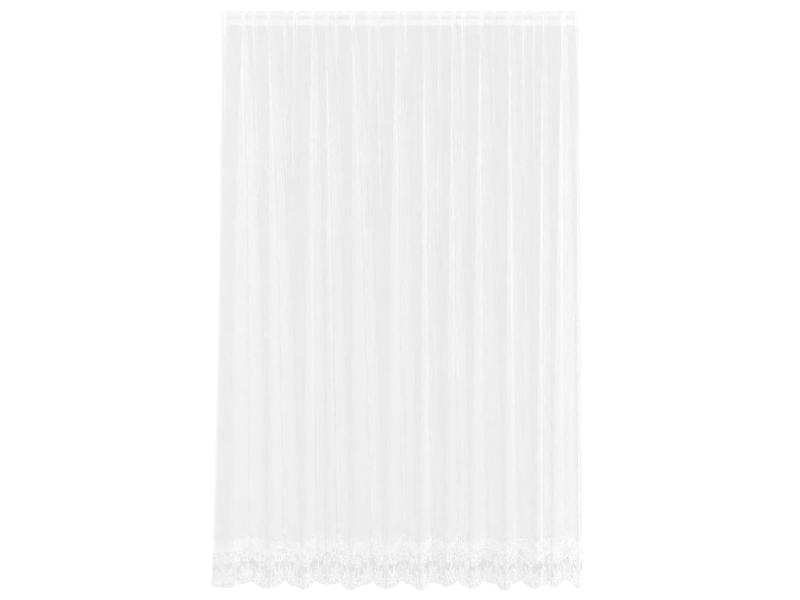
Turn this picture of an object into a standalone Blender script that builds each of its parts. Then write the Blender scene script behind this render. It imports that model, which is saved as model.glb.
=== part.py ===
"""Sheer voile curtain on gathering tape, with a floral lace edge.

Metres, +Z up. The origin is the middle of the top edge, where the curtain is held. The width runs along X, the front faces -Y and the tape is on the back, +Y.

The cloth is one length of voile, FLAT_WIDTH wide. Every level section of it is the same cloth, so each section's folds are made as deep as it takes to use up exactly that width. Pinched pleats start at the tape, and on the way down some die out and the others open into soft folds.
"""
import bpy
import bmesh
import numpy as np

# ---------------------------------------------------------------- sizes (m)
FLAT_WIDTH = 3.000        # the cloth before it is gathered
HEIGHT = 2.500            # top edge to the lowest point of the lace
TOP_WIDTH = 1.560         # gathered, along the tape
LEFT_FOOT = -0.817        # the left side edge at the hem; the right one is the last crest below
TAPE_HEIGHT = 0.062
HEADING = 0.064           # down to here every section is the same
TAPE_INSET = 0.018        # cloth from each side edge to the tape's end
VOILE_END = 2.345         # the voile's cut lower edge, behind the lace
LACE_TOP = 2.280          # the lace's upper edge, in front of the voile
SCALLOPS = 26             # along the lower edge
SCALLOP_DEPTH = 0.011

SHEET = 0.0010            # thickness of the voile as a solid
TAPE = 0.0010
LACE = 0.0012
HEM_WIDTH = 0.013         # a side hem, folded over to the back
HEM_EXTRA = 0.0008        # what the hem adds on the back
GAP = 0.0003              # clear space between two pieces

# A pinched pleat at the tape: a narrow back with a wall on each side
PINCH_FLAT = 0.0030       # half of the flat back
PINCH_LEFT = 0.010        # width of the left wall
PINCH_RIGHT = 0.018       # and of the right one
SOFT_FLAT = 0.0050        # half of a soft fold's flat back, at the hem
DYING_LEFT = 0.020        # what the walls of a pleat that dies out widen to
DYING_RIGHT = 0.030
BEND_HEAD = 3.2           # how late a wall gets steep: 1 is straight from the front to the back
BEND_FOOT = 1.30
SETTLE = 0.60             # how the pleats open on the way down, below 1 is early

# The soft folds at the hem, from left to right, in cm. A fold goes back from
# one crest and comes forward to the next one. x_back is where it lies furthest
# back, and x_crest is the crest on its right. back and crest say how far
# behind the foremost cloth these two lie. left and right are the widths of
# its walls, and a narrow wall is steep.
FOLDS = [
    # x_back x_crest back  crest left  right
    (-66.3, -55.8, 9.0, 0.5, 7.2, 10.5),
    (-50.7, -41.4, 9.5, 0.5, 5.1, 9.3),
    (-36.6, -31.7, 9.5, 4.0, 4.8, 4.9),
    (-27.3, -20.6, 8.0, 0.5, 4.4, 6.7),
    (-12.3, -6.0, 9.5, 0.5, 8.3, 6.3),
    (1.3, 8.6, 9.5, 0.5, 7.3, 7.3),
    (14.1, 19.7, 9.0, 3.0, 5.5, 5.6),
    (25.7, 30.0, 9.5, 0.5, 6.0, 4.3),
    (37.9, 45.0, 9.5, 0.5, 7.9, 7.1),
    (52.2, 58.3, 10.0, 1.0, 7.2, 6.1),
    (63.0, 65.2, 7.0, 2.0, 4.7, 2.2),
    (73.8, 76.6, 12.0, 2.0, 8.6, 2.8),
    (78.6, 79.3, 4.5, 3.5, 2.0, 0.7),
]
FOLD_COLUMNS = ("x_back", "x_crest", "back", "crest", "left", "right")
LEFT_CREST = 3.0          # how far back the left side edge lies at the hem, cm

# The pinched pleats at the tape, from left to right. share is a pleat's depth
# against the mean, and fold counts the soft fold below that takes its cloth.
# gone is how far down a pleat has died out, and end is where it lies there; the
# one in each fold that stays, and opens into that fold, has 0 for both.
PLEATS = [
    # x (cm) share fold gone (m) end (cm)
    (-75.6, 0.70, 1, 0.60, -74.8),
    (-68.1, 1.15, 1, 0.00, 0.0),
    (-63.3, 0.80, 1, 0.95, -59.2),
    (-57.2, 1.10, 2, 0.00, 0.0),
    (-49.9, 0.70, 2, 1.05, -47.8),
    (-45.7, 0.75, 2, 1.05, -45.9),
    (-37.9, 1.50, 3, 0.00, 0.0),
    (-32.2, 0.90, 4, 0.00, 0.0),
    (-27.7, 0.60, 4, 1.05, -23.4),
    (-20.8, 1.15, 5, 0.00, 0.0),
    (-13.4, 1.00, 5, 1.45, -12.6),
    (-9.7, 0.90, 6, 0.90, -7.0),
    (-1.3, 1.20, 6, 0.00, 0.0),
    (2.6, 0.60, 6, 0.95, 2.2),
    (10.4, 1.50, 7, 0.00, 0.0),
    (17.0, 0.80, 7, 1.60, 16.6),
    (22.8, 1.10, 8, 0.00, 0.0),
    (27.1, 1.10, 8, 1.30, 28.2),
    (35.2, 1.30, 9, 0.00, 0.0),
    (40.4, 0.50, 9, 0.65, 41.7),
    (47.4, 1.20, 10, 0.00, 0.0),
    (53.5, 1.00, 10, 1.90, 54.1),
    (58.0, 0.70, 11, 0.65, 58.8),
    (62.4, 1.00, 11, 0.00, 0.0),
    (70.7, 1.50, 12, 0.00, 0.0),
    (76.4, 0.60, 13, 0.00, 0.0),
]
PLEAT_COLUMNS = ("x", "share", "fold", "gone", "end")

# Levels below the top edge at which the sheet is bent. The two inside the lace
# are also the voile's end and the lace's upper edge.
LEVELS = (0.0, HEADING, 0.22, 0.52, 0.95, 1.55, LACE_TOP, VOILE_END)
LACE_LEVELS = (LACE_TOP, VOILE_END, HEIGHT)
STEPS = 240               # points across one fold while its section is worked out


# ---------------------------------------------------------------- the folds
def column(table, names, name, unit=0.01):
    return np.array([row[names.index(name)] for row in table]) * unit


FOLD = {name: column(FOLDS, FOLD_COLUMNS, name) for name in FOLD_COLUMNS}
PLEAT = {
    "x": column(PLEATS, PLEAT_COLUMNS, "x"),
    "share": column(PLEATS, PLEAT_COLUMNS, "share", 1),
    "fold": column(PLEATS, PLEAT_COLUMNS, "fold", 1) - 1,
    "gone": column(PLEATS, PLEAT_COLUMNS, "gone", 1),
    "end": column(PLEATS, PLEAT_COLUMNS, "end"),
}


def rounded(t):
    """0 to 1, with a level start and end."""
    return 0.5 - 0.5 * np.cos(np.pi * np.clip(t, 0.0, 1.0))


def between(a, b, t):
    return a + (b - a) * t


def opening(down):
    """How far the pleats have opened at this distance below the top, 0 to 1."""
    return (max(down - HEADING, 0.0) / (HEIGHT - HEADING)) ** SETTLE


def head_crests():
    """Where the cloth of one fold ends and the next one's begins, at the tape: halfway between their pleats."""
    half = TOP_WIDTH / 2
    inner = [
        (PLEAT["x"][PLEAT["fold"] == f].max() + PLEAT["x"][PLEAT["fold"] == f + 1].min()) / 2
        for f in range(len(FOLDS) - 1)
    ]
    return np.array([-half, *inner, half])


def tuck(x, mid, flat, left, right, bend):
    """0 on the front and 1 on a flat back around mid, with walls that get steeper to the back."""
    off = x - mid
    near = np.where(off < 0, (off + flat + left) / left, (flat + right - off) / right)
    return np.clip(near, 0.0, 1.0) ** bend


def flare(f, down):
    """How far a crest has moved from its place at the tape to the one at the hem. The curtain's left edge swings out late."""
    return opening(down) if f else (max(down - HEADING, 0.0) / (HEIGHT - HEADING)) ** 2


def fold_parts(f, down):
    """For one fold at one level: x, how far back its base line and its dying pleats lie, and its tuck at depth 1."""
    o = opening(down)
    head, foot = HEAD_CRESTS, FOOT_CRESTS
    a, b = between(head[f], foot[f], flare(f, down)), between(head[f + 1], foot[f + 1], o)
    x = np.linspace(a, b, STEPS)
    y = between(LEVEL[f], LEVEL[f + 1], rounded((x - a) / (b - a))) * o * SCALE["foot"]
    for i in np.flatnonzero(PLEAT["fold"] == f):
        if not PLEAT["gone"][i]:
            mid = between(PLEAT["x"][i], FOLD["x_back"][f], o)
            continue
        faded = min(1.0, max(down - HEADING, 0.0) / PLEAT["gone"][i])
        at = between(PLEAT["x"][i], PLEAT["end"][i], faded)
        left = min(between(PINCH_LEFT, DYING_LEFT, faded), at - PINCH_FLAT - a)
        right = min(between(PINCH_RIGHT, DYING_RIGHT, faded), b - at - PINCH_FLAT)
        depth = PLEAT["share"][i] * SCALE["head"] * (1 - faded ** 1.6)
        y = y + depth * tuck(x, at, PINCH_FLAT, left, right, BEND_HEAD)
    flat = between(PINCH_FLAT, SOFT_FLAT, o)
    left = min(between(PINCH_LEFT, FOLD["left"][f], o), mid - flat - a)
    right = min(between(PINCH_RIGHT, FOLD["right"][f], o), b - flat - mid)
    return x, y, tuck(x, mid, flat, left, right, between(BEND_HEAD, BEND_FOOT, o))


def run(x, y):
    """The length of the line."""
    return np.hypot(np.diff(x), np.diff(y)).sum()


def solve(target, length):
    """The number, from 0 to 1, that gives a growing length its target."""
    low, high = 0.0, 1.0
    for _ in range(40):
        middle = (low + high) / 2
        low, high = (middle, high) if length(middle) < target else (low, middle)
    return low


def head_cloth(scale):
    """The cloth in each fold at the tape, for a mean pleat depth."""
    SCALE["head"] = scale
    out = []
    for f in range(len(FOLDS)):
        x, y, one = fold_parts(f, 0.0)
        share = PLEAT["share"][(PLEAT["fold"] == f) & (PLEAT["gone"] == 0)][0]
        out.append(run(x, y + share * scale * one))
    return np.array(out)


def foot_cloth(scale):
    """The cloth in each fold at the hem, for a scale on the table's depths."""
    SCALE["foot"] = scale
    out = []
    for f in range(len(FOLDS)):
        x, y, one = fold_parts(f, HEIGHT)
        base = y[np.argmax(one)]
        out.append(run(x, y + (FOLD["back"][f] * scale - base) * one))
    return np.array(out)


LEVEL = np.array([LEFT_CREST / 100, *FOLD["crest"]])
HEAD_CRESTS = head_crests()
FOOT_CRESTS = np.array([LEFT_FOOT, *FOLD["x_crest"]])
SCALE = {"head": 0.0, "foot": 0.0}
head_cloth(solve(FLAT_WIDTH, lambda v: head_cloth(v * 0.2).sum()) * 0.2)
foot_cloth(solve(FLAT_WIDTH, lambda v: foot_cloth(v * 4).sum()) * 4)
HEAD_CLOTH = head_cloth(SCALE["head"])
FOOT_CLOTH = foot_cloth(SCALE["foot"])


def section(down):
    """x, y and the distance along the cloth, for the level this far down."""
    xs, ys = [], []
    for f in range(len(FOLDS)):
        cloth = between(HEAD_CLOTH[f], FOOT_CLOTH[f], opening(down))
        x, y, one = fold_parts(f, down)
        depth = solve(cloth, lambda v: run(x, y + v * 0.4 * one)) * 0.4
        last = f + 1 == len(FOLDS)
        xs.append(x if last else x[:-1])
        ys.append((y + depth * one) if last else (y + depth * one)[:-1])
    x, y = np.concatenate(xs), np.concatenate(ys)
    along = np.concatenate([[0.0], np.cumsum(np.hypot(np.diff(x), np.diff(y)))])
    y = y - ((y[1:] + y[:-1]) * np.diff(along)).sum() / 2 / along[-1]  # it hangs under the tape
    return x, y, along * FLAT_WIDTH / along[-1]


def cloth_columns():
    """Distances along the cloth of the threads that the mesh follows: seven for each pleat, and the edges of the hems."""
    x, y, along = section(0.0)
    marks = []
    for i, mid in enumerate(PLEAT["x"]):
        for part in (0.75, 0.22, 0.0):
            marks.append(mid - PINCH_FLAT - PINCH_LEFT * part)
            marks.append(mid + PINCH_FLAT + PINCH_RIGHT * part)
        if i + 1 < len(PLEATS):
            marks.append((mid + PLEAT["x"][i + 1]) / 2)
    s = np.interp(np.sort(marks), x, along)
    s = s[(s > HEM_WIDTH + 0.008) & (s < FLAT_WIDTH - HEM_WIDTH - 0.008)]
    edge = np.array([0.0, HEM_WIDTH, HEM_WIDTH + 0.002])
    return np.sort(np.concatenate([edge, s, FLAT_WIDTH - edge]))


def line(down, s):
    """The cloth's middle line at a level, at the given distances along it."""
    x, y, along = section(down)
    return np.stack([np.interp(s, along, x), np.interp(s, along, y)], axis=1)


def beside(path, off):
    """The path moved sideways, to the back for a positive distance, with mitred corners."""
    d = np.diff(path, axis=0)
    d /= np.linalg.norm(d, axis=1)[:, None]
    n = np.stack([-d[:, 1], d[:, 0]], axis=1)
    before, after = np.vstack([n[:1], n]), np.vstack([n, n[-1:]])
    mitre = before + after
    mitre /= np.maximum((mitre * before).sum(axis=1), 0.25)[:, None]
    return path + mitre * np.asarray(off)[..., None]


# ---------------------------------------------------------------- solids
def sheet(name, s, levels, near, far, z_of=None):
    """One closed sheet between two distances from the cloth's middle, near on its front and far on its back."""
    z_of = z_of or (lambda down, at: np.full(len(at), -down))
    mesh = bmesh.new()
    faces = [[], []]
    for down in levels:
        path = line(down, s)
        z = z_of(down, s)
        for side, off in ((0, near), (1, far)):
            xy = beside(path, np.broadcast_to(off, s.shape))
            faces[side].append([mesh.verts.new((a[0], a[1], h)) for a, h in zip(xy, z)])
    rows, cols = len(levels), len(s)
    for side, grid in enumerate(faces):
        for r in range(rows - 1):
            for c in range(cols - 1):
                a, b, d, e = grid[r][c], grid[r + 1][c], grid[r + 1][c + 1], grid[r][c + 1]
                for tri in ((a, b, d), (a, d, e)):  # the same diagonal in every piece
                    mesh.faces.new(tri if side == 0 else tri[::-1])
    front, back = faces
    for c in range(cols - 1):
        mesh.faces.new([front[0][c], front[0][c + 1], back[0][c + 1], back[0][c]])
        mesh.faces.new([front[-1][c], back[-1][c], back[-1][c + 1], front[-1][c + 1]])
    for r in range(rows - 1):
        mesh.faces.new([front[r][0], back[r][0], back[r + 1][0], front[r + 1][0]])
        mesh.faces.new([front[r][-1], front[r + 1][-1], back[r + 1][-1], back[r][-1]])
    bmesh.ops.recalc_face_normals(mesh, faces=mesh.faces)
    data = bpy.data.meshes.new(name)
    mesh.to_mesh(data)
    mesh.free()
    data.shade_smooth()
    obj = bpy.data.objects.new(name, data)
    bpy.context.scene.collection.objects.link(obj)
    return obj


def finish(obj, name, colour, roughness, alpha=1.0):
    mat = bpy.data.materials.new(name)
    mat.use_nodes = True
    bsdf = mat.node_tree.nodes["Principled BSDF"]
    bsdf.inputs["Base Color"].default_value = (*colour, 1)
    bsdf.inputs["Roughness"].default_value = roughness
    bsdf.inputs["Metallic"].default_value = 0.0
    bsdf.inputs["Alpha"].default_value = alpha
    obj.data.materials.append(mat)


def lace_z(down, s):
    """The lace's lower edge is scalloped; its other levels are straight."""
    z = np.full(len(s), -down)
    if down >= HEIGHT:
        z += SCALLOP_DEPTH * (1 - np.abs(np.sin(np.pi * SCALLOPS * s / FLAT_WIDTH)))
    return z


def main():
    for old in list(bpy.data.objects):
        bpy.data.objects.remove(old)

    s = cloth_columns()
    hem = (s <= HEM_WIDTH + 1e-6) | (s >= FLAT_WIDTH - HEM_WIDTH - 1e-6)
    panel = sheet("voile_panel", s, LEVELS, -SHEET / 2, SHEET / 2 + HEM_EXTRA * hem)
    finish(panel, "sheer_voile", (0.93, 0.93, 0.93), 0.85, 0.55)

    inside = (s >= TAPE_INSET) & (s <= FLAT_WIDTH - TAPE_INSET)
    start = SHEET / 2 + GAP
    tape = sheet("heading_tape", s[inside], (0.0, TAPE_HEIGHT), start, start + TAPE)
    finish(tape, "white_tape", (0.95, 0.95, 0.95), 0.7)

    lace = sheet("lace_border", s, LACE_LEVELS, -start - LACE, -start, lace_z)
    finish(lace, "white_lace", (0.94, 0.94, 0.94), 0.75)


main()
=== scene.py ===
"""Looks of the sheer voile curtain: the gathered voile with its side hems, the heading tape behind its top edge and the
floral lace edge, hung in front of a plain white wall, with the curtain's shadow on that wall painted as a plain grey
panel.
"""
import math

import bpy
import numpy as np
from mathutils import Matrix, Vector


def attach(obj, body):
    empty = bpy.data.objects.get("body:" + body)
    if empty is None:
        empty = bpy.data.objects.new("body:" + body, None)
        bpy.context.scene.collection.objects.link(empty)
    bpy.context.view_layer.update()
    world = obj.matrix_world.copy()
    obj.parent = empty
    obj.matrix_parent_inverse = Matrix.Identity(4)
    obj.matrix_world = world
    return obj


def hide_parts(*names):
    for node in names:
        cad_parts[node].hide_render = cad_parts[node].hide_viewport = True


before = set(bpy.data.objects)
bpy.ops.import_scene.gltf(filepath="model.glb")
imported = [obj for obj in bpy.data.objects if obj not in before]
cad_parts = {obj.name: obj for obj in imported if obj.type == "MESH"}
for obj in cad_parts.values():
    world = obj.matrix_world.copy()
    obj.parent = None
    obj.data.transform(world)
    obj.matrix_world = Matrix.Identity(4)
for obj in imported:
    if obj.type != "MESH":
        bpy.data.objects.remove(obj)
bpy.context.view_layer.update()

# ------------------------------------------------------------------ sizes (m), as in the construction, with the pleats pinched a little sharper
FLAT_WIDTH = 3.000
HEIGHT = 2.500
TOP_WIDTH = 1.560
LEFT_FOOT = -0.817
TAPE_HEIGHT = 0.062
HEADING = 0.064
TAPE_INSET = 0.018
VOILE_END = 2.345
LACE_TOP = 2.280
SCALLOPS = 26
SCALLOP_DEPTH = 0.011
HEM_WIDTH = 0.013
PINCH_FLAT = 0.0003
SOFT_FLAT = 0.0003
PINCH_LEFT = 0.003
PINCH_RIGHT = 0.011
BEND_HEAD = 1.3
BEND_FOOT = 1.30
SETTLE = 0.60
LEAN = -0.010                                  # how far the back of a pinched pleat lies over to the right, in the curtain's middle
LEAN_MORE = 0.008                              # and how much more for each metre to the right of it
LEAN_FOOT = 0.003                             # the same for the very back of a soft fold at the hem
SHIFT = 0.004                                  # from a pleat's ridge, which the table gives, to its mouth

COVER = 0.28                                   # the share of the voile that its yarns cover, seen square on

# The tape, behind the voile
TAPE_OFF = 0.0013
TAPE_COVER = 0.52
TAPE_BANDS = ((0.0006, 0.0020), (0.0032, 0.0046), (0.0058, 0.0072), (0.0084, 0.0213), (0.0366, 0.0620))   # three cords of the selvedge, then the two dense bands
TAPE_RIBS = ((0.0105, 0.0209), (0.0385, 0.0432), (0.0530, 0.0592))
TAPE_THREADS = 0.0110                          # from one crossing thread to the next, along the cloth
TAPE_THREAD = 0.0007

# The lace, in front of the voile
LACE_OFF = 0.0012
LACE_COVER = 0.36
LACE_TOP_COVER = 0.15                          # where the voile still lies behind it
LACE_CORD_COVER = 0.10
NET_COVER = 0.20
NET_REACH = 0.006                              # how far the net goes past a flower
LEAF_REACH = 0.011                             # and past a leaf or a bar
LACE_CELL = 0.0023                             # the grid that its outlines are cut on
LACE_EDGE = 0.0024                             # width of a raised outline
SLIT = 0.0024                                  # width of the openings between petals and along veins
OPEN_PETAL = 0.12                              # half the size of the opening in a petal, for a flower of radius 1
REPEATS = 13                                   # of the design, two lobes of the edge in each
RIM_HOLES = 0.0144
EDGE_BAND = 0.030                              # height of the solid edge, less where its top dips
# Drops cut out of each lobe: place across it as a share of its width, height, half width and half height in m
EDGE_DROPS = (
    (0.0, 0.022, 0.0045, 0.0065),
    (-0.24, 0.026, 0.0035, 0.0055),
    (0.24, 0.026, 0.0035, 0.0055),
)

# The motifs in one repeat, in cm and degrees from upright. y is the height above the lowest point.
FLOWERS = [
    (4.4, 14.4, 4.5, 6, 12),
    (12.4, 17.6, 3.2, 5, 36),
    (17.8, 13.4, 4.0, 6, -8),
    (11.0, 11.6, 2.5, 5, 0),
    (22.4, 18.4, 2.6, 5, 20),
]
FLOWER_COLUMNS = ("x", "y", "radius", "petals", "turn")
LEAVES = [
    (5.8, 3.0, 5.0, 2.2, -72),
    (5.6, 3.2, 6.0, 2.3, -40),
    (5.8, 3.4, 6.6, 2.3, -8),
    (6.0, 3.2, 6.2, 2.3, 28),
    (6.0, 3.0, 5.2, 2.2, 64),
    (17.2, 3.0, 5.2, 2.2, -66),
    (17.2, 3.2, 6.2, 2.3, -30),
    (17.4, 3.4, 6.4, 2.3, 6),
    (17.5, 3.2, 6.0, 2.3, 42),
    (17.6, 3.0, 5.0, 2.2, 74),
    (8.2, 14.6, 4.6, 2.0, 24),
    (8.8, 12.6, 4.4, 1.9, -30),
    (14.6, 12.6, 4.2, 1.9, -12),
    (21.2, 12.6, 4.6, 2.0, 30),
    (1.2, 10.6, 3.8, 1.9, -30),
    (0.8, 16.8, 3.8, 1.9, -6),
    (16.0, 17.0, 4.0, 1.9, 26),
]
LEAF_COLUMNS = ("x", "y", "length", "width", "turn")
BARS = [
    (0.0, 5.2, 23.1, 5.2, 0.0, 0.35),
    (5.8, 3.0, 4.6, 12.0, 0.5, 0.45),
    (17.4, 3.0, 17.6, 12.0, -0.4, 0.45),
    (11.5, 2.5, 11.2, 10.5, 0.4, 0.40),
    (0.0, 12.6, 5.0, 19.4, 1.2, 0.35),
    (11.4, 11.6, 8.2, 19.6, 0.8, 0.35),
    (12.4, 15.0, 20.0, 18.6, 0.6, 0.35),
    (23.1, 12.0, 22.4, 17.0, 0.4, 0.35),
    (0.0, 2.8, 0.0, 12.0, 0.0, 0.35),
]
BAR_COLUMNS = ("x0", "y0", "x1", "y1", "bow", "width")

# The soft folds at the hem, in cm: where each lies furthest back, the crest on its right, how far back these two lie, and the widths of its two walls
FOLDS = [
    (-66.3, -55.8, 9.0, 0.5, 7.2, 10.5),
    (-50.7, -41.4, 9.5, 0.5, 5.1, 9.3),
    (-36.6, -31.7, 9.5, 4.0, 4.8, 4.9),
    (-27.3, -20.6, 8.0, 0.5, 4.4, 6.7),
    (-12.3, -6.0, 9.5, 0.5, 8.3, 6.3),
    (1.3, 8.6, 9.5, 0.5, 7.3, 7.3),
    (14.1, 19.7, 9.0, 3.0, 5.5, 5.6),
    (25.7, 30.0, 9.5, 0.5, 6.0, 4.3),
    (37.9, 45.0, 9.5, 0.5, 7.9, 7.1),
    (52.2, 58.3, 10.0, 1.0, 7.2, 6.1),
    (63.0, 65.2, 7.0, 2.0, 4.7, 2.2),
    (73.8, 76.6, 12.0, 2.0, 8.6, 2.8),
    (78.6, 79.3, 4.5, 3.5, 2.0, 0.7),
]
FOLD_COLUMNS = ("x_back", "x_crest", "back", "crest", "left", "right")
LEFT_CREST = 3.0

# The pinched pleats at the tape: x in cm, share of the mean depth, the soft fold below that takes its cloth, how far down it has died out in m (0: it stays), and the x where it has
PLEATS = [
    (-75.6, 0.70, 1, 0.60, -74.8),
    (-68.1, 1.15, 1, 0.00, 0.0),
    (-63.3, 0.80, 1, 0.95, -59.2),
    (-57.2, 1.10, 2, 0.00, 0.0),
    (-49.9, 0.70, 2, 1.05, -47.8),
    (-45.7, 0.75, 2, 1.05, -45.9),
    (-37.9, 1.50, 3, 0.00, 0.0),
    (-32.2, 0.90, 4, 0.00, 0.0),
    (-27.7, 0.60, 4, 1.05, -23.4),
    (-20.8, 1.15, 5, 0.00, 0.0),
    (-13.4, 1.00, 5, 1.45, -12.6),
    (-9.7, 0.90, 6, 0.90, -7.0),
    (-1.3, 1.20, 6, 0.00, 0.0),
    (2.6, 0.60, 6, 0.95, 2.2),
    (10.4, 1.50, 7, 0.00, 0.0),
    (17.0, 0.80, 7, 1.60, 16.6),
    (22.8, 1.10, 8, 0.00, 0.0),
    (27.1, 1.10, 8, 1.30, 28.2),
    (35.2, 1.30, 9, 0.00, 0.0),
    (40.4, 0.50, 9, 0.65, 41.7),
    (47.4, 1.20, 10, 0.00, 0.0),
    (53.5, 1.00, 10, 1.90, 54.1),
    (58.0, 0.70, 11, 0.65, 58.8),
    (62.4, 1.00, 11, 0.00, 0.0),
    (70.7, 1.50, 12, 0.00, 0.0),
    (76.4, 0.60, 13, 0.00, 0.0),
]
PLEAT_COLUMNS = ("x", "share", "fold", "gone", "end")
STEPS = 400


# ------------------------------------------------------------------ the folds, as in the construction
def column(table, names, name, unit=0.01):
    return np.array([row[names.index(name)] for row in table]) * unit


FOLD = {name: column(FOLDS, FOLD_COLUMNS, name) for name in FOLD_COLUMNS}
PLEAT = {
    name: column(PLEATS, PLEAT_COLUMNS, name, 1 if name in ("share", "fold", "gone") else 0.01)
    for name in PLEAT_COLUMNS
}
PLEAT["fold"] = PLEAT["fold"] - 1


def rounded(t):
    return 0.5 - 0.5 * np.cos(np.pi * np.clip(t, 0.0, 1.0))


def between(a, b, t):
    return a + (b - a) * t


def opening(down):
    return (max(down - HEADING, 0.0) / (HEIGHT - HEADING)) ** SETTLE


def flare(f, down):
    """The curtain's left edge swings out late, the folds early."""
    return opening(down) if f else max(down - HEADING, 0.0) ** 2 / (HEIGHT - HEADING) ** 2


def head_crests():
    half = TOP_WIDTH / 2
    inner = [
        (PLEAT["x"][PLEAT["fold"] == f].max() + PLEAT["x"][PLEAT["fold"] == f + 1].min()) / 2
        for f in range(len(FOLDS) - 1)
    ]
    return np.array([-half, *inner, half])


def tuck(x, mid, flat, left, right, bend):
    off = x - mid
    near = np.where(off < 0, (off + flat + left) / left, (flat + right - off) / right)
    return np.clip(near, 0.0, 1.0) ** bend


def fold_parts(f, down):
    o = opening(down)
    head, foot = HEAD_CRESTS, FOOT_CRESTS
    a, b = between(head[f], foot[f], flare(f, down)), between(head[f + 1], foot[f + 1], o)
    x = np.linspace(a, b, STEPS)
    own = np.flatnonzero(PLEAT["fold"] == f)
    faded = {i: min(1.0, max(down - HEADING, 0.0) / PLEAT["gone"][i]) if PLEAT["gone"][i] else 0.0 for i in own}
    tips = {}
    for i in own:
        at = between(PLEAT["x"][i] + SHIFT, PLEAT["end"][i], faded[i])
        if not PLEAT["gone"][i]:
            at = mid = between(PLEAT["x"][i] + SHIFT, FOLD["x_back"][f], o)
        tips[i] = int(np.argmin(np.abs(x - at)))
        x[tips[i]] = at                            # a point of the section lies just where each fold turns
    y = between(LEVEL[f], LEVEL[f + 1], rounded((x - a) / (b - a))) * o * SCALE["foot"]
    over = 0.0
    for i in own:
        if not PLEAT["gone"][i]:
            continue
        at = between(PLEAT["x"][i] + SHIFT, PLEAT["end"][i], faded[i])
        left = min(between(PINCH_LEFT, 0.020, faded[i]), at - PINCH_FLAT - a)
        right = min(between(PINCH_RIGHT, 0.030, faded[i]), b - at - PINCH_FLAT)
        depth = PLEAT["share"][i] * SCALE["head"] * (1 - faded[i] ** 1.6)
        near = tuck(x, at, PINCH_FLAT, left, right, BEND_HEAD)
        y = y + depth * near
        over = over + (LEAN + LEAN_MORE * at) * (1 - faded[i]) * near
    flat = between(PINCH_FLAT, SOFT_FLAT, o)
    left = min(between(PINCH_LEFT, FOLD["left"][f], o), mid - flat - a)
    right = min(between(PINCH_RIGHT, FOLD["right"][f], o), b - flat - mid)
    one = tuck(x, mid, flat, left, right, between(BEND_HEAD, BEND_FOOT, o))
    return x + over + (LEAN + LEAN_MORE * mid) * (1 - o) * one + LEAN_FOOT * o * one ** 5, y, one, tips


def run(x, y):
    return np.hypot(np.diff(x), np.diff(y)).sum()


def solve(target, length):
    low, high = 0.0, 1.0
    for _ in range(40):
        middle = (low + high) / 2
        low, high = (middle, high) if length(middle) < target else (low, middle)
    return low


def head_cloth(scale):
    SCALE["head"] = scale
    out = []
    for f in range(len(FOLDS)):
        x, y, one, _ = fold_parts(f, 0.0)
        share = PLEAT["share"][(PLEAT["fold"] == f) & (PLEAT["gone"] == 0)][0]
        out.append(run(x, y + share * scale * one))
    return np.array(out)


def foot_cloth(scale):
    SCALE["foot"] = scale
    out = []
    for f in range(len(FOLDS)):
        x, y, one, _ = fold_parts(f, HEIGHT)
        base = y[np.argmax(one)]
        out.append(run(x, y + (FOLD["back"][f] * scale - base) * one))
    return np.array(out)


LEVEL = np.array([LEFT_CREST / 100, *FOLD["crest"]])
HEAD_CRESTS = head_crests()
FOOT_CRESTS = np.array([LEFT_FOOT, *FOLD["x_crest"]])
SCALE = {"head": 0.0, "foot": 0.0}
head_cloth(solve(FLAT_WIDTH, lambda v: head_cloth(v * 0.2).sum()) * 0.2)
foot_cloth(solve(FLAT_WIDTH, lambda v: foot_cloth(v * 4).sum()) * 4)
HEAD_CLOTH = head_cloth(SCALE["head"])
FOOT_CLOTH = foot_cloth(SCALE["foot"])


def section(down):
    """x, y and the distance along the cloth, for the level this far down, and the distances along to the pleats."""
    xs, ys, marks = [], [], {}
    for f in range(len(FOLDS)):
        cloth = between(HEAD_CLOTH[f], FOOT_CLOTH[f], opening(down))
        x, y, one, tips = fold_parts(f, down)
        marks.update({i: at + f * (STEPS - 1) for i, at in tips.items()})
        depth = solve(cloth, lambda v: run(x, y + v * 0.4 * one)) * 0.4
        last = f + 1 == len(FOLDS)
        xs.append(x if last else x[:-1])
        ys.append((y + depth * one) if last else (y + depth * one)[:-1])
    x, y = np.concatenate(xs), np.concatenate(ys)
    along = np.concatenate([[0.0], np.cumsum(np.hypot(np.diff(x), np.diff(y)))])
    y = y - ((y[1:] + y[:-1]) * np.diff(along)).sum() / 2 / along[-1]
    along = along * FLAT_WIDTH / along[-1]
    return x, y, along, np.maximum.accumulate(along[[marks[i] for i in sorted(marks)]])


# ------------------------------------------------------------------ the hung cloth, finer
def spread(a, step, width):
    """a smoothed along its last axis with a bell of this width, with even ends."""
    n = max(1, int(round(3 * width / step)))
    bell = np.exp(-0.5 * (np.arange(-n, n + 1) * step / width) ** 2)
    bell /= bell.sum()
    padded = np.concatenate([2 * a[:1] - a[n:0:-1], a, 2 * a[-1:] - a[-2:-n - 2:-1]])
    return np.convolve(padded, bell, mode="valid")


S_STEP = 0.0005
S_FINE = np.arange(0.0, FLAT_WIDTH + S_STEP / 2, S_STEP)


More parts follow.
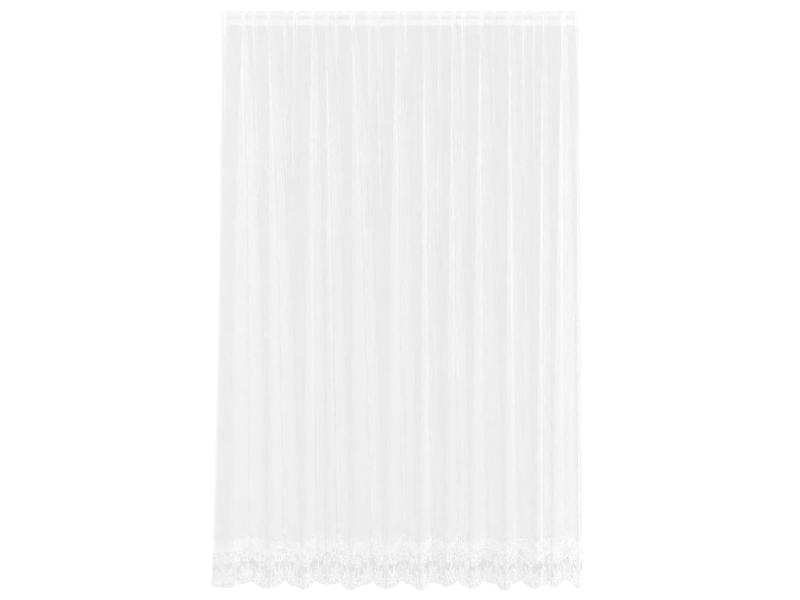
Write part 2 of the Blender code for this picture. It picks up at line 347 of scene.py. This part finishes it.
class Hung:
    """Where each point of the cloth hangs: for a level below the top, x and y by distance along the cloth."""

    def __init__(self, levels):
        self.levels = np.array(levels)
        xs, ys, marks = [], [], []
        for down in self.levels:
            x, y, along, at = section(float(down))
            marks.append([0.0, *at, FLAT_WIDTH])
            x, y = np.interp(S_FINE, along, x), np.interp(S_FINE, along, y)
            wide = between(0.0012, 0.0005, opening(float(down)))
            xs.append(spread(x, S_STEP, wide))
            ys.append(spread(y, S_STEP, wide))
        self.x, self.y, self.marks = np.array(xs), np.array(ys), np.array(marks)

    def at(self, s, down):
        """x, y for arrays of distance along and level below the top."""
        s, down = np.broadcast_arrays(np.asarray(s, float), np.asarray(down, float))
        r = np.clip(np.searchsorted(self.levels, down, side="right") - 1, 0, len(self.levels) - 2)
        t = np.clip((down - self.levels[r]) / (self.levels[r + 1] - self.levels[r]), 0, 1)
        q = np.clip(s / S_STEP, 0, len(S_FINE) - 1.001)
        c = q.astype(int)
        u = q - c
        out = []
        for grid in (self.x, self.y):
            top = grid[r, c] * (1 - u) + grid[r, c + 1] * u
            low = grid[r + 1, c] * (1 - u) + grid[r + 1, c + 1] * u
            out.append(top * (1 - t) + low * t)
        return out[0], out[1]

    def columns(self, count, last):
        """For the levels down to last, the distances along of columns that keep to the same place in each fold, closer where it turns."""
        s = np.linspace(0, FLAT_WIDTH, 12001)
        close = 1 + 3 * np.exp(-((s[:, None] - self.marks[0][None, 1:-1]) / 0.004) ** 2).sum(axis=1)
        share = np.concatenate([[0.0], np.cumsum(close[1:] + close[:-1])])
        s = np.interp(np.linspace(0, 1, count), share / share[-1], s)
        return np.array([np.interp(s, self.marks[0], marks) for marks in self.marks[self.levels <= last + 1e-6]])

    def side(self, s, down):
        """The unit vector to the back of the cloth, level."""
        e = 0.0012
        xa, ya = self.at(np.maximum(s - e, 0), down)
        xb, yb = self.at(np.minimum(s + e, FLAT_WIDTH), down)
        dx, dy = xb - xa, yb - ya
        long = np.maximum(np.hypot(dx, dy), 1e-9)
        return -dy / long, dx / long

    def place(self, s, down, off):
        """Points of the cloth at s and down, moved off to its back."""
        x, y = self.at(s, down)
        nx, ny = self.side(s, down)
        return x + nx * off, y + ny * off


HEAD_LEVELS = np.linspace(0.0, HEADING, 5)
BODY_LEVELS = HEADING + (LACE_TOP - HEADING) * np.linspace(0, 1, 40)[1:] ** 1.5
LACE_LEVELS = np.concatenate([np.linspace(LACE_TOP, VOILE_END, 5)[1:], np.linspace(VOILE_END, HEIGHT, 10)[1:]])
hung = Hung(np.concatenate([HEAD_LEVELS, BODY_LEVELS, LACE_LEVELS]))


def cloth_mesh(name, s, down, off, faces):
    """A mesh of cloth points, each given by its distance along, its level below the top and how far behind the cloth's middle it lies. The first two are its UV map too, in metres."""
    s, down, off = (np.ravel(a) for a in np.broadcast_arrays(s, down, off))
    x, y = hung.place(s, down, off)
    mesh = bpy.data.meshes.new(name)
    mesh.from_pydata(np.stack([x, y, -down], axis=1).tolist(), [], [f for f in faces])
    uv = mesh.uv_layers.new(name="cloth")
    loops = np.empty(len(mesh.loops), np.int32)
    mesh.loops.foreach_get("vertex_index", loops)
    uv.data.foreach_set("uv", np.stack([s, down], axis=1)[loops].astype(np.float32).ravel())
    mesh.shade_smooth()
    obj = bpy.data.objects.new(name, mesh)
    bpy.context.scene.collection.objects.link(obj)
    return obj


def grid_faces(rows, cols, start=0):
    r, c = np.meshgrid(np.arange(rows - 1), np.arange(cols - 1), indexing="ij")
    a = start + (r * cols + c).ravel()
    return np.stack([a, a + cols, a + cols + 1, a + 1], axis=1).tolist()


class Patches:
    """Several grids of cloth points that make one mesh."""

    def __init__(self):
        self.s, self.down, self.off, self.faces, self.count = [], [], [], [], 0

    def grid(self, s, down, off):
        s, down, off = np.broadcast_arrays(np.asarray(s, float), np.asarray(down, float), np.asarray(off, float))
        self.faces += grid_faces(*s.shape, self.count)
        self.count += s.size
        for kept, new in ((self.s, s), (self.down, down), (self.off, off)):
            kept.append(new.ravel())

    def many(self, s, down, off):
        """Separate small grids: arrays of (number, rows, columns)."""
        s, down, off = np.broadcast_arrays(s, down, off)
        one = np.array(grid_faces(s.shape[1], s.shape[2]))
        start = self.count + np.arange(s.shape[0])[:, None, None] * s.shape[1] * s.shape[2]
        self.faces += (one[None] + start).reshape(-1, 4).tolist()
        self.count += s.size
        for kept, new in ((self.s, s), (self.down, down), (self.off, off)):
            kept.append(new.ravel())

    def mesh(self, name):
        return cloth_mesh(name, np.concatenate(self.s), np.concatenate(self.down), np.concatenate(self.off), self.faces)


CORNER_CASES = {
    # which corners of a cell are cloth (1, 2, 4, 8 from the upper left, down and round) and the outline of what that leaves: corners 0 to 3, and 4 to 7 for the crossings after each
    1: [(0, 4, 7)], 2: [(4, 1, 5)], 4: [(5, 2, 6)], 8: [(6, 3, 7)],
    3: [(0, 1, 5, 7)], 6: [(4, 1, 2, 6)], 12: [(5, 2, 3, 7)], 9: [(0, 4, 6, 3)],
    7: [(0, 1, 2, 6, 7)], 14: [(4, 1, 2, 3, 7)], 13: [(0, 4, 5, 2, 3)], 11: [(0, 1, 5, 6, 3)],
    5: [(0, 4, 7), (5, 2, 6)], 10: [(4, 1, 5), (6, 3, 7)], 15: [(0, 1, 2, 3)],
}


def openwork(name, s, down, inside, off):
    """The part of a grid of cloth where inside is above zero, cut along its smooth outline. Gives the mesh and its flat area."""
    rows, cols = inside.shape
    total = rows * cols
    S, D = np.broadcast_arrays(s[None, :], down[:, None])
    f = np.where(np.abs(inside) < 1e-7, 1e-7, inside)

    def crossing(a, b, va, vb):
        return a + (b - a) * np.clip(va / (va - vb + 1e-30), 0.08, 0.92)

    both = {"down": (slice(None, -1), slice(1, None), 0), "along": (slice(None, -1), slice(1, None), 1)}
    values = {}
    for key, (lo, hi, axis) in both.items():
        pick = (lambda g, k: g[k, :]) if axis == 0 else (lambda g, k: g[:, k])
        fa, fb = pick(f, lo), pick(f, hi)
        mixed = fa * fb < 0
        fa, fb = np.where(mixed, fa, 1.0), np.where(mixed, fb, -1.0)
        values[key] = [crossing(pick(g, lo), pick(g, hi), fa, fb).ravel() for g in (S, D, off)]
    points = [np.concatenate([g.ravel(), values["down"][i], values["along"][i]]) for i, g in enumerate((S, D, off))]
    r, c = (g.ravel() for g in np.meshgrid(np.arange(rows - 1), np.arange(cols - 1), indexing="ij"))
    corner = [r * cols + c, (r + 1) * cols + c, (r + 1) * cols + c + 1, r * cols + c + 1]
    down_at = lambda r, c: total + r * cols + c
    along_at = lambda r, c: total + (rows - 1) * cols + r * (cols - 1) + c
    ids = np.stack(corner + [down_at(r, c), along_at(r + 1, c), down_at(r, c + 1), along_at(r, c)], axis=1)
    full = (f > 0).ravel()
    case = sum((1 << k) * full[corner[k]].astype(int) for k in range(4))
    faces = []
    for number, outlines in CORNER_CASES.items():
        here = ids[case == number]
        for outline in outlines:
            faces += here[:, list(outline)].tolist()
    used = np.zeros(len(points[0]), bool)
    for face in faces:
        for i in face:
            used[i] = True
    renumber = np.cumsum(used) - 1
    faces = [[int(renumber[i]) for i in face] for face in faces]
    s_, d_, o_ = (g[used] for g in points)
    area = 0.0
    for face in faces:
        xs, ys = s_[face], d_[face]
        area += abs((xs * np.roll(ys, -1) - ys * np.roll(xs, -1)).sum()) / 2
    return cloth_mesh(name, s_, d_, o_, faces), float(area)


# ------------------------------------------------------------------ materials
def new_material(name):
    mat = bpy.data.materials.new(name)
    mat.use_nodes = True
    nt = mat.node_tree
    nt.nodes.clear()
    return mat, nt


def node(nt, kind, **values):
    n = nt.nodes.new(kind)
    for key, value in values.items():
        setattr(n, key, value)
    return n


def maths(nt, operation, a, b=None, c=None, clamp=False):
    n = node(nt, "ShaderNodeMath", operation=operation, use_clamp=clamp)
    for i, v in enumerate((a, b, c)):
        if v is None:
            continue
        if isinstance(v, (int, float)):
            n.inputs[i].default_value = v
        else:
            nt.links.new(v, n.inputs[i])
    return n.outputs[0]


def cloth_material(name, cover, tint=0.95, through=0.45, pitch=0.0005, slub=0.035, upper=None):
    """See-through cloth: yarns that cover this share of it, with the holes between them, or the share upper above the voile's lower edge. Its weave is a fine relief, and its cross threads have thicker and paler places."""
    mat, nt = new_material(name)
    out = node(nt, "ShaderNodeOutputMaterial")
    facing = node(nt, "ShaderNodeLayerWeight")
    facing.inputs["Blend"].default_value = 0.5
    cosine = maths(nt, "MAXIMUM", maths(nt, "SUBTRACT", 1.0, facing.outputs["Facing"]), 0.10)
    flat = node(nt, "ShaderNodeUVMap", uv_map="cloth")
    apart = node(nt, "ShaderNodeSeparateXYZ")
    nt.links.new(flat.outputs[0], apart.inputs[0])
    holes = 1.0 - cover
    if upper is not None:
        lower = maths(nt, "MULTIPLY_ADD", apart.outputs[1], 1 / 0.012, 0.5 - VOILE_END / 0.012, clamp=True)
        holes = maths(nt, "MULTIPLY_ADD", lower, upper - cover, 1.0 - upper)
    # more yarns lie behind each other where the cloth is seen aslant
    clear = maths(nt, "POWER", holes, maths(nt, "DIVIDE", 1.0, cosine))

    tones = []
    for across, down, detail in ((22.0, 420.0, 2.0), (5.0, 3.0, 1.0)):
        place = node(nt, "ShaderNodeMapping")
        place.inputs["Scale"].default_value = (across, down, 1.0)
        nt.links.new(flat.outputs[0], place.inputs["Vector"])
        noise = node(nt, "ShaderNodeTexNoise", noise_dimensions="2D")
        noise.inputs["Scale"].default_value = 1.0
        noise.inputs["Detail"].default_value = detail
        nt.links.new(place.outputs[0], noise.inputs["Vector"])
        tones.append(maths(nt, "SUBTRACT", noise.outputs[0], 0.5))
    uneven = maths(nt, "ADD", maths(nt, "MULTIPLY", tones[0], 2 * slub), maths(nt, "MULTIPLY", tones[1], slub))
    shade = maths(nt, "MULTIPLY", maths(nt, "ADD", uneven, 1.0), tint)
    colour = node(nt, "ShaderNodeCombineColor")
    for i in range(3):
        nt.links.new(shade, colour.inputs[i])

    waves = [maths(nt, "SINE", maths(nt, "MULTIPLY", apart.outputs[i], 2 * math.pi / pitch)) for i in (0, 1)]
    relief = maths(nt, "ADD", maths(nt, "MULTIPLY", waves[0], waves[1]), maths(nt, "MULTIPLY", tones[0], 2.0))
    bump = node(nt, "ShaderNodeBump")
    bump.inputs["Strength"].default_value = 0.15
    bump.inputs["Distance"].default_value = 0.00008
    nt.links.new(relief, bump.inputs["Height"])

    face = node(nt, "ShaderNodeBsdfPrincipled")
    face.inputs["Roughness"].default_value = 0.85
    face.inputs["Specular IOR Level"].default_value = 0.20
    face.inputs["Sheen Weight"].default_value = 0.06
    face.inputs["Sheen Roughness"].default_value = 0.5
    nt.links.new(colour.outputs[0], face.inputs["Base Color"])
    nt.links.new(bump.outputs[0], face.inputs["Normal"])
    back = node(nt, "ShaderNodeBsdfTranslucent")
    nt.links.new(colour.outputs[0], back.inputs["Color"])
    nt.links.new(bump.outputs[0], back.inputs["Normal"])
    yarn = node(nt, "ShaderNodeMixShader")
    yarn.inputs[0].default_value = through
    nt.links.new(face.outputs[0], yarn.inputs[1])
    nt.links.new(back.outputs[0], yarn.inputs[2])
    hole = node(nt, "ShaderNodeBsdfTransparent")
    mix = node(nt, "ShaderNodeMixShader")
    nt.links.new(clear, mix.inputs[0])
    nt.links.new(yarn.outputs[0], mix.inputs[1])
    nt.links.new(hole.outputs[0], mix.inputs[2])
    nt.links.new(mix.outputs[0], out.inputs["Surface"])
    return mat


# ------------------------------------------------------------------ the pieces
pieces = []


def piece(obj, material, node_name):
    obj.data.materials.append(material)
    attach(obj, "root")
    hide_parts(node_name)
    pieces.append(obj)
    return obj


def stitches(patches, along, down, length, wide, off, rise):
    """Short raised dashes of thread, the longer way along the cloth for a positive length and down it for a negative one."""
    n = len(along)
    t = np.array([-0.5, -0.3, 0.3, 0.5])
    high = np.array([0.0, 1.0, 1.0, 0.0])
    u = np.array([-0.5, 0.5])
    if length > 0:
        S = along[:, None, None] + (t * length)[None, None, :] + 0 * u[None, :, None]
        D = down[:, None, None] + (u * wide)[None, :, None] + 0 * t[None, None, :]
        H = np.broadcast_to(high[None, None, :], (n, 2, 4))
    else:
        S = along[:, None, None] + (u * wide)[None, None, :] + 0 * t[None, :, None]
        D = down[:, None, None] + (-t * length)[None, :, None] * 1.0 + 0 * u[None, None, :]
        H = np.broadcast_to(high[None, :, None], (n, 4, 2))
    patches.many(S, D, off + rise * H)


# ------------------------------------------------------------------ voile
S = hung.columns(2001, VOILE_END)
D = hung.levels[:len(S), None] + 0 * S
voile = cloth_mesh("voile", S, D, 0.0, grid_faces(*S.shape))
piece(voile, cloth_material("voile", COVER), "voile_panel")

# the side hems: the cloth folded over to the back, and sewn down
hem_levels = np.concatenate([np.linspace(0, HEADING, 3)[:-1], HEADING + (VOILE_END - HEADING) * np.linspace(0, 1, 60) ** 1.3])
hems = Patches()
for start in (0.0, FLAT_WIDTH - HEM_WIDTH):
    across = start + np.linspace(0, HEM_WIDTH, 6)
    off = 0.0006 + 0.0004 * np.sin(np.pi * (across - start) / HEM_WIDTH)
    S, D = np.meshgrid(across, hem_levels)
    hems.grid(S, D, np.broadcast_to(off, S.shape))
hem = piece(hems.mesh("side_hems"), cloth_material("hem", 0.50), "voile_panel")
seam = Patches()
down = np.arange(0.068, VOILE_END - 0.004, 0.0045)
for at in (HEM_WIDTH - 0.0018, FLAT_WIDTH - HEM_WIDTH + 0.0018):
    stitches(seam, np.full(len(down), at), down, -0.0031, 0.0007, -0.0006, -0.0004)
piece(seam.mesh("hem_stitches"), cloth_material("hem_thread", 0.35), "voile_panel")

# ------------------------------------------------------------------ heading tape
s_tape = np.linspace(TAPE_INSET, FLAT_WIDTH - TAPE_INSET, 1401)
bands = Patches()
for top, low in TAPE_BANDS:
    S, D = np.meshgrid(s_tape, np.linspace(top, low, 4))
    bands.grid(S, D, TAPE_OFF)
# threads that cross the see-through gap, in leaning pairs
gap_top, gap_low = TAPE_BANDS[3][1], TAPE_BANDS[4][0]
n = int((FLAT_WIDTH - 2 * TAPE_INSET) / TAPE_THREADS)
at = TAPE_INSET + TAPE_THREADS * (np.arange(n) + 0.5)
lean = np.where(np.arange(n) % 2, 1, -1) * TAPE_THREADS * 0.35
row = np.array([0.0, 0.5, 1.0])
S = at[:, None, None] + lean[:, None, None] * (row - 0.5)[None, :, None] + (np.array([-0.5, 0.5]) * TAPE_THREAD)[None, None, :]
D = (gap_top + (gap_low - gap_top) * row)[None, :, None] + 0 * S
bands.many(S, D, TAPE_OFF)
selvedge = TAPE_BANDS[3][0] - TAPE_BANDS[0][0]
D = (TAPE_BANDS[0][0] + selvedge * row)[None, :, None] + 0 * S
bands.many(S, D, TAPE_OFF)
tape = piece(bands.mesh("tape"), cloth_material("tape", TAPE_COVER, tint=0.93), "heading_tape")

# the ribs that the drawing cords run in, and the row of hook pockets over the lower band
cords = Patches()
for top, low in TAPE_RIBS:
    across = np.linspace(-0.5, 0.5, 7)
    S, D = np.meshgrid(s_tape, (top + low) / 2 + (low - top) * across)
    cords.grid(S, D, TAPE_OFF + 0.0002 + 0.0009 * np.cos(np.pi * across)[:, None] + 0 * S)
loops = TAPE_INSET + 0.012 + 0.024 * np.arange(int((FLAT_WIDTH - 2 * TAPE_INSET - 0.012) / 0.024))
row = np.array([0.0, 0.15, 0.5, 0.85, 1.0])
S = loops[:, None, None] + (np.array([-0.5, 0.0, 0.5]) * 0.0065)[None, None, :] + 0 * row[None, :, None]
D = (0.037 + 0.016 * row)[None, :, None] + 0 * S
cords.many(S, D, TAPE_OFF + 0.0003 + 0.0012 * np.sin(np.pi * row)[None, :, None] + 0 * S)
cord = piece(cords.mesh("tape_cords"), cloth_material("tape_cord", 0.38, tint=0.93), "heading_tape")
seam = Patches()
along = np.arange(TAPE_INSET + 0.003, FLAT_WIDTH - TAPE_INSET - 0.003, 0.0045)
for at in (TAPE_BANDS[3][0] + 0.0010, TAPE_BANDS[4][1] - 0.0028):
    stitches(seam, along, np.full(len(along), at), 0.0031, 0.0007, -0.0006, -0.0004)
piece(seam.mesh("tape_stitches"), cloth_material("tape_thread", 0.30, tint=0.93), "heading_tape")

# ------------------------------------------------------------------ lace
s_lace = np.linspace(0, FLAT_WIDTH, int(FLAT_WIDTH / LACE_CELL) + 1)
rows = int((HEIGHT - LACE_TOP) / LACE_CELL) + 1
d_lace = np.linspace(LACE_TOP, HEIGHT, rows)
S, V = np.meshgrid(s_lace, HEIGHT - d_lace)     # V: height above the lowest point

REPEAT = FLAT_WIDTH / REPEATS
number = np.minimum(np.floor(S / REPEAT), REPEATS - 1)
P = S - number * REPEAT
P = np.where(number % 2 == 1, REPEAT - P, P)     # every other repeat is turned round


def flower(x, y, radius, petals, turn):
    """A flower seen from the front: how far inside its outline, with slits between the petals and an opening in each."""
    dx, dy = P - x, V - y
    far, angle = np.hypot(dx, dy), np.arctan2(dx, dy) - math.radians(turn)
    lobe = np.abs(np.cos(petals * angle / 2))
    shape = radius * (0.66 + 0.34 * lobe ** 0.6) - far
    beside = far * np.abs(np.sin(np.pi * (np.mod(petals * angle / (2 * np.pi), 1.0) - 0.5))) * 2 / petals
    along = far - 0.60 * radius
    step = 2 * np.pi / petals
    across = far * (np.mod(angle + step / 2, step) - step / 2)
    opening_ = OPEN_PETAL * radius - np.hypot(along * 0.62, across * 1.25)
    slit = np.minimum(SLIT / 2 - far * np.abs(np.mod(angle, step) - step / 2), far - 0.34 * radius)
    ring = np.minimum(SLIT / 2 - np.abs(far - 0.24 * radius), np.abs(across) - 0.0024)
    holes = np.maximum(np.maximum(opening_, slit), ring)
    return np.minimum(shape, -holes), shape


def leaf(x, y, length, width, turn):
    """A pointed leaf from its foot at x, y, with an open vein."""
    a = math.radians(turn)
    dx, dy = P - x, V - y
    along = dx * math.sin(a) + dy * math.cos(a)
    across = dx * math.cos(a) - dy * math.sin(a)
    t = np.clip(along / length, 0, 1)
    half = width / 2 * np.sin(np.pi * t ** 0.8) ** 0.8
    shape = np.where((along > 0) & (along < length), half - np.abs(across), -np.hypot(np.minimum(along, 0) + np.maximum(along - length, 0), across))
    vein = np.minimum(SLIT / 2 - np.abs(across), np.minimum(along - 0.22 * length, 0.82 * length - along))
    return np.minimum(shape, -vein), shape


def bar(x0, y0, x1, y1, bow, width):
    """A thin bar from one point to another, bowed sideways."""
    out = np.full(P.shape, -1.0)
    t = np.linspace(0, 1, 9)
    px, py = x0 + (x1 - x0) * t, y0 + (y1 - y0) * t
    long = math.hypot(x1 - x0, y1 - y0)
    px, py = px + (y0 - y1) / long * bow * np.sin(np.pi * t), py + (x1 - x0) / long * bow * np.sin(np.pi * t)
    for i in range(8):
        ex, ey = px[i + 1] - px[i], py[i + 1] - py[i]
        k = np.clip(((P - px[i]) * ex + (V - py[i]) * ey) / (ex * ex + ey * ey), 0, 1)
        out = np.maximum(out, width / 2 - np.hypot(P - px[i] - k * ex, V - py[i] - k * ey))
    return out


lace_in = np.full(P.shape, -1.0)
outline = np.full(P.shape, -1.0)
near_lace = np.full(P.shape, -1.0)               # within reach of a motif, where the net is


def lay(both, reach=0.0):
    """Puts a motif over what is there already, with the net this far round it."""
    global lace_in, outline, near_lace
    body, shape = both
    near_lace = np.maximum(near_lace, shape + reach)
    apart = shape + LACE_EDGE
    lace_in = np.where(apart > 0, np.maximum(body, np.where(shape > 0, -1.0, lace_in)), lace_in)
    edge = np.minimum(shape, LACE_EDGE - shape)
    outline = np.where(shape > 0, edge, outline)


LENGTHS = ("x", "y", "x1", "y1", "bow", "width", "length", "radius")


def motif(kind, names, row):
    return kind(**{n: (v / 100 if n in LENGTHS or n in ("x0", "y0") else v) for n, v in zip(names, row)})


for row in BARS:
    both = motif(bar, BAR_COLUMNS, row)
    lay((both, both), LEAF_REACH)
for row in LEAVES:
    lay(motif(leaf, LEAF_COLUMNS, row), LEAF_REACH)
for row in FLOWERS:
    lay(motif(flower, FLOWER_COLUMNS, row), NET_REACH)

# the solid edge with its lobes, holes along the rim and a drop in each lobe
lobe_at = np.mod(S * SCALLOPS / FLAT_WIDTH, 1.0)
rim = SCALLOP_DEPTH * (1 - np.abs(np.sin(np.pi * lobe_at)))
lobe_wide = FLAT_WIDTH / SCALLOPS
edge_top = EDGE_BAND + 0.007 * np.abs(np.sin(2 * np.pi * lobe_at))
solid = np.minimum(V - rim - 0.0003, edge_top - V)
hole_at = (np.mod(S / RIM_HOLES, 1.0) - 0.5) * RIM_HOLES
holes = 0.0026 - np.hypot(hole_at, V - rim - 0.0085)
for shift, up, wide, tall in EDGE_DROPS:
    holes = np.maximum(holes, (1 - np.hypot((lobe_at - 0.5 - shift) * lobe_wide / wide, (V - up) / tall)) * min(wide, tall))
lace_in = np.where(solid > 0, np.minimum(solid + 0.0012, -holes), np.maximum(lace_in, -1.0))
outline = np.where(solid > 0, np.minimum(V - rim - 0.0008, 0.0024 + rim - V + 0.0008), outline)
lace_in = np.minimum(lace_in, (HEIGHT - LACE_TOP) - V - 0.0004)
lace_in = np.minimum(lace_in, V - rim - 0.0003)
off = -(LACE_OFF + 0.0007 * np.clip(lace_in / 0.006, 0, 1))
lace, lace_area = openwork("lace", s_lace, d_lace, lace_in, off)
piece(lace, cloth_material("lace", LACE_COVER, tint=0.94, upper=LACE_TOP_COVER), "lace_border")

# the fine net that the motifs are worked on, cut on a grid twice as wide
net_in = np.minimum(near_lace, np.minimum(V - rim - 0.004, (HEIGHT - LACE_TOP) - V - 0.0004))[::2, ::2]
net, _ = openwork("lace_net", s_lace[::2], d_lace[::2], net_in, np.full(net_in.shape, -0.0009))
piece(net, cloth_material("lace_net", NET_COVER, tint=0.94), "lace_border")

# raised threads round every petal, leaf and lobe
thread_in = np.minimum(outline, lace_in + 0.0010)
cords_, _ = openwork("lace_cords", s_lace, d_lace, thread_in, off - 0.0005)
piece(cords_, cloth_material("lace_cord", LACE_CORD_COVER, tint=0.94), "lace_border")
seam = Patches()
along = np.arange(0.003, FLAT_WIDTH - 0.003, 0.0045)
stitches(seam, along, np.full(len(along), VOILE_END - 0.004), 0.0031, 0.0007, -(LACE_OFF + 0.0014), -0.0004)
piece(seam.mesh("lace_stitches"), cloth_material("lace_thread", 0.30, tint=0.94), "lace_border")

# ------------------------------------------------------------------ stage
WALL_Y = 0.105
FLOOR_Z = -2.66
WALL_WHITE = 0.80
# grey of the painted shadow panel behind the cloth, and how far inside the cloth's outline that panel stops
PAINTED_SHADOW_GREY = 0.572
PAINTED_SHADOW_INSET = 0.004
DISTANCE = 3.45                                # of the camera from the curtain
EYE = -1.2534                                  # its height
PER_M = 230.1                                  # pixels a metre, in the plane of the curtain's middle


def stage_plane(name, corners, colour):
    mesh = bpy.data.meshes.new(name)
    mesh.from_pydata(corners, [], [tuple(range(len(corners)))])
    obj = bpy.data.objects.new(name, mesh)
    bpy.context.scene.collection.objects.link(obj)
    mat, nt = new_material(name)
    out = node(nt, "ShaderNodeOutputMaterial")
    d = node(nt, "ShaderNodeBsdfDiffuse")
    d.inputs["Color"].default_value = (*colour, 1)
    t = node(nt, "ShaderNodeBsdfTransparent")
    g = node(nt, "ShaderNodeNewGeometry")
    m = node(nt, "ShaderNodeMixShader")
    nt.links.new(g.outputs["Backfacing"], m.inputs[0])
    nt.links.new(d.outputs[0], m.inputs[1])
    nt.links.new(t.outputs[0], m.inputs[2])
    nt.links.new(m.outputs[0], out.inputs["Surface"])
    mesh.materials.append(mat)
    return obj


WIDE, TALL = 6.0, 3.0
wall = stage_plane("wall", [(-WIDE, WALL_Y, FLOOR_Z), (WIDE, WALL_Y, FLOOR_Z), (WIDE, WALL_Y, TALL), (-WIDE, WALL_Y, TALL)], (WALL_WHITE,) * 3)
floor = stage_plane("floor", [(-WIDE, -7, FLOOR_Z), (WIDE, -7, FLOOR_Z), (WIDE, 7, FLOOR_Z), (-WIDE, 7, FLOOR_Z)], (0.90, 0.90, 0.90))

# painted shadow: a plain grey panel on the wall behind the cloth, just inside its outline as the camera sees it, that
# stands in for the shadow the curtain casts on the wall
PAINTED_SHADOW_Y = WALL_Y - 0.002


def on_wall(x, y, z):
    far = (DISTANCE + PAINTED_SHADOW_Y) / (DISTANCE + y)
    return x * far, (z - EYE) * far + EYE


def hem_outline():
    """The lowest line of the hem, every few millimetres across."""
    s = np.linspace(0, FLAT_WIDTH, 6001)
    down = HEIGHT - SCALLOP_DEPTH * (1 - np.abs(np.sin(np.pi * SCALLOPS * s / FLAT_WIDTH)))
    x, z = on_wall(*hung.at(s, down), -down)
    bins = np.arange(x.min() + PAINTED_SHADOW_INSET, x.max() - PAINTED_SHADOW_INSET, 0.003)
    low = np.array([z[np.abs(x - at) < 0.006].min() for at in bins])
    low = np.maximum(low, np.maximum(np.roll(low, 1), np.roll(low, -1)) - 0.006)
    return bins, low + PAINTED_SHADOW_INSET * 1.6


def side_outline(s, inward, downs):
    x, y = hung.at(np.full(len(downs), s), downs)
    x, z = on_wall(x, y, -downs)
    return list(zip(x + inward * PAINTED_SHADOW_INSET, z))


def top_outline():
    """The highest line of the cloth, every few millimetres across, less what the pleats lie further back."""
    x, y = hung.at(np.linspace(0, FLAT_WIDTH, 6001), 0.0)
    x, z = on_wall(x, y, 0.0)
    bins = np.arange(x.min() + 2 * PAINTED_SHADOW_INSET, x.max() - 2 * PAINTED_SHADOW_INSET, 0.002)
    high = np.array([z[np.abs(x - at) < 0.002].max() for at in bins])
    return bins, np.minimum(high, np.minimum(np.roll(high, 1), np.roll(high, -1))) - 0.0005


downs = np.linspace(0.004, HEIGHT - 0.10, 40)
outline_ = side_outline(0.0, 1, downs) + list(zip(*hem_outline())) + side_outline(FLAT_WIDTH, -1, downs)[::-1] + list(zip(*top_outline()))[::-1]
corners = [(float(x), PAINTED_SHADOW_Y, float(z)) for x, z in outline_]
# the painted shadow: a grey sheet where the curtain's shadow falls on the wall
painted_shadow = stage_plane("painted_shadow", corners, (PAINTED_SHADOW_GREY,) * 3)

# ------------------------------------------------------------------ light
BACKDROP = 0.46                                # the light on the wall alone: brightness of a white surface
FRONT = 0.116                                   # the lights on the curtain: brightness of a white surface that faces each
LEFT_SIDE = 0.030
RIGHT_SIDE = 0.157
SIDE_ANGLE = 70                                # degrees from straight in front
AMBIENT = 1.235                                 # the even light all round


def only_on(name, objects):
    group = bpy.data.collections.new(name)
    for obj in objects:
        group.objects.link(obj)
    return group


on_stage = only_on("on_stage", (wall, painted_shadow))
on_curtain = only_on("on_curtain", pieces)


LIGHTS = (
    ("backdrop_light", BACKDROP, 0, on_stage),
    ("front_light", FRONT, 0, on_curtain),
    ("left_light", LEFT_SIDE, -SIDE_ANGLE, on_curtain),
    ("right_light", RIGHT_SIDE, SIDE_ANGLE, on_curtain),
)
for name, strength, turn, lit in LIGHTS:
    data = bpy.data.lights.new(name, "SUN")
    data.energy = strength * math.pi
    data.angle = math.radians(12)
    data.use_shadow = False
    obj = bpy.data.objects.new(name, data)
    turn = math.radians(turn)
    obj.rotation_mode = "QUATERNION"
    obj.rotation_quaternion = Vector((-math.sin(turn), math.cos(turn), -0.15)).to_track_quat("-Z", "Y")
    obj.light_linking.receiver_collection = lit
    bpy.context.scene.collection.objects.link(obj)

world = bpy.data.worlds.new("studio")
bpy.context.scene.world = world
world.use_nodes = True
nt = world.node_tree
nt.nodes.clear()
out = node(nt, "ShaderNodeOutputWorld")
lit, seen = node(nt, "ShaderNodeBackground"), node(nt, "ShaderNodeBackground")
lit.inputs["Strength"].default_value = AMBIENT
seen.inputs["Strength"].default_value = 1.0
path = node(nt, "ShaderNodeLightPath")
mix = node(nt, "ShaderNodeMixShader")
nt.links.new(path.outputs["Is Camera Ray"], mix.inputs[0])
nt.links.new(lit.outputs[0], mix.inputs[1])
nt.links.new(seen.outputs[0], mix.inputs[2])
nt.links.new(mix.outputs[0], out.inputs["Surface"])

# ------------------------------------------------------------------ camera
cam_data = bpy.data.cameras.new("camera")
cam_data.sensor_width = 36
cam_data.lens = 36 * PER_M * DISTANCE / 800
cam = bpy.data.objects.new("camera", cam_data)
cam.location = (0, -DISTANCE, EYE)
cam.rotation_euler = (math.radians(90), 0, 0)
bpy.context.scene.collection.objects.link(cam)
bpy.context.scene.camera = cam

scene = bpy.context.scene
scene.view_settings.view_transform = "Standard"
scene.view_settings.look = "None"
scene.cycles.transparent_max_bounces = 64
scene.cycles.max_bounces = 12
